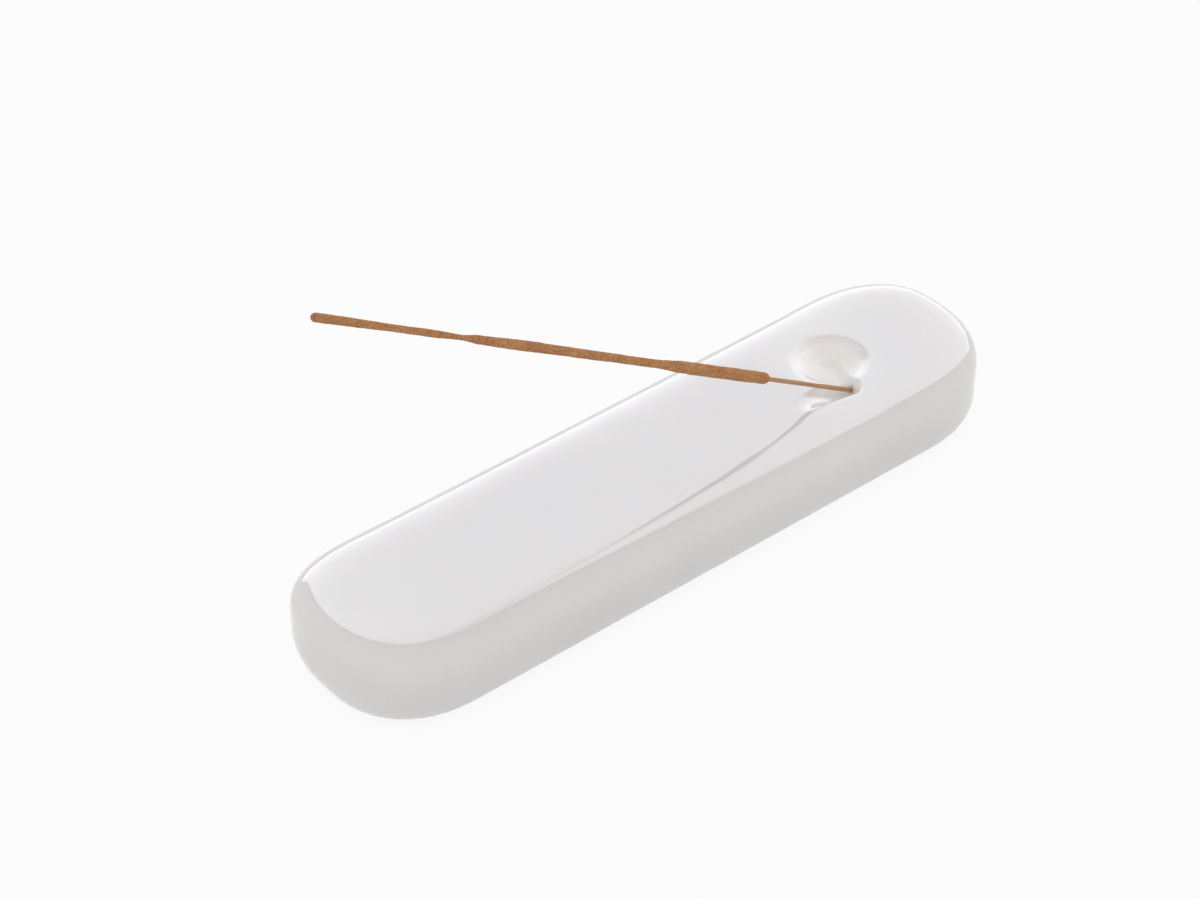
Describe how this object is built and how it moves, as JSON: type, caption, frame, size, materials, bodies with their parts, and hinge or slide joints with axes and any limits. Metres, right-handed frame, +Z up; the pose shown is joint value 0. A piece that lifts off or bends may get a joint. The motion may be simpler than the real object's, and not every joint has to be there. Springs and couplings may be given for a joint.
{
  "type": "incense burner",
  "caption": "Thick rounded glass bar that stands flat on a table and holds an incense stick aslant over its length, with a pressed ash dish at one end.",
  "frame": {"origin": "on the table under the middle of the bar, which is also the middle of the part's box", "axes": "+X along the bar towards the ash dish, +Y to the back, +Z up; the stick leans back over the bar towards -X"},
  "size_m": [0.23, 0.06, 0.1289],
  "materials": {
    "opal_glass": "gloss",
    "bamboo": "satin",
    "incense_paste": "matte"
  },
  "bodies": {
    "holder": {"glass_bar": "opal_glass"},
    "stick": {"bamboo_splint": "bamboo", "incense_coating": "incense_paste"}
  },
  "joints": [
    {"name": "stick_pull", "type": "slide", "parent": "holder", "child": "stick", "axis": [-0.856, 0.0449, 0.515], "range_m": [0, 0.03]}
  ]
}
